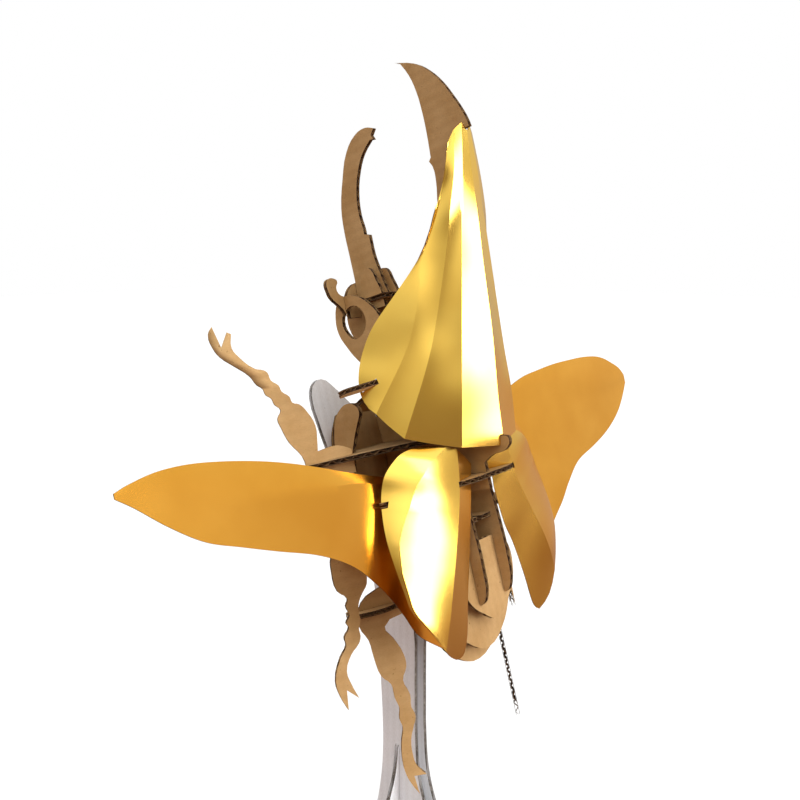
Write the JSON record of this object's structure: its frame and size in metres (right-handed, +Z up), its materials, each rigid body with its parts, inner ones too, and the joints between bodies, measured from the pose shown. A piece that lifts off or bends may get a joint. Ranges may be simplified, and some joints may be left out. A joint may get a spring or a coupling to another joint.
{
  "type": "cardboard beetle model",
  "caption": "Slot-together cardboard horned beetle with a gold card shell, spread wings and six legs, leaning upright on a white board stand.",
  "frame": {"origin": "middle of the bounding box at floor level, under the stand", "axes": "+Z up, -Y towards the side that the beetle turns its back and gold shell to, +X towards the beetle's own right side"},
  "size_m": [0.482, 0.17, 0.5885],
  "materials": {
    "kraft_board": "matt brown corrugated board with dark laser-cut edges",
    "gold_card": "satin gold metallic card, creased",
    "white_board": "matt white corrugated board with darker cut edges"
  },
  "bodies": {
    "root": {"spine_horn": "kraft_board", "head_horn": "kraft_board", "antennae": "kraft_board", "eye_ring_left": "kraft_board", "eye_ring_right": "kraft_board", "cheek_left": "kraft_board", "cheek_right": "kraft_board", "neck_plate": "kraft_board", "collar_board": "kraft_board", "bulkhead_fore": "kraft_board", "bulkhead_mid": "kraft_board", "bulkhead_hind": "kraft_board", "pronotum_cover": "gold_card", "elytron_left": "gold_card", "elytron_right": "gold_card", "elytra_bracket": "kraft_board", "wing_left": "gold_card", "wing_right": "gold_card", "thorax_side_left": "kraft_board", "thorax_side_right": "kraft_board", "thorax_floor": "kraft_board", "rib_left": "kraft_board", "rib_right": "kraft_board", "abdomen_plate_1": "kraft_board", "abdomen_plate_2": "kraft_board", "abdomen_plate_3": "kraft_board", "foreleg_left": "kraft_board", "foreleg_right": "kraft_board", "midleg_left": "kraft_board", "midleg_right": "kraft_board", "hindleg_left": "kraft_board", "hindleg_right": "kraft_board", "stand_board_left": "white_board", "stand_board_right": "white_board", "stand_fin": "white_board", "stand_cradle": "white_board"}
  },
  "joints": []
}
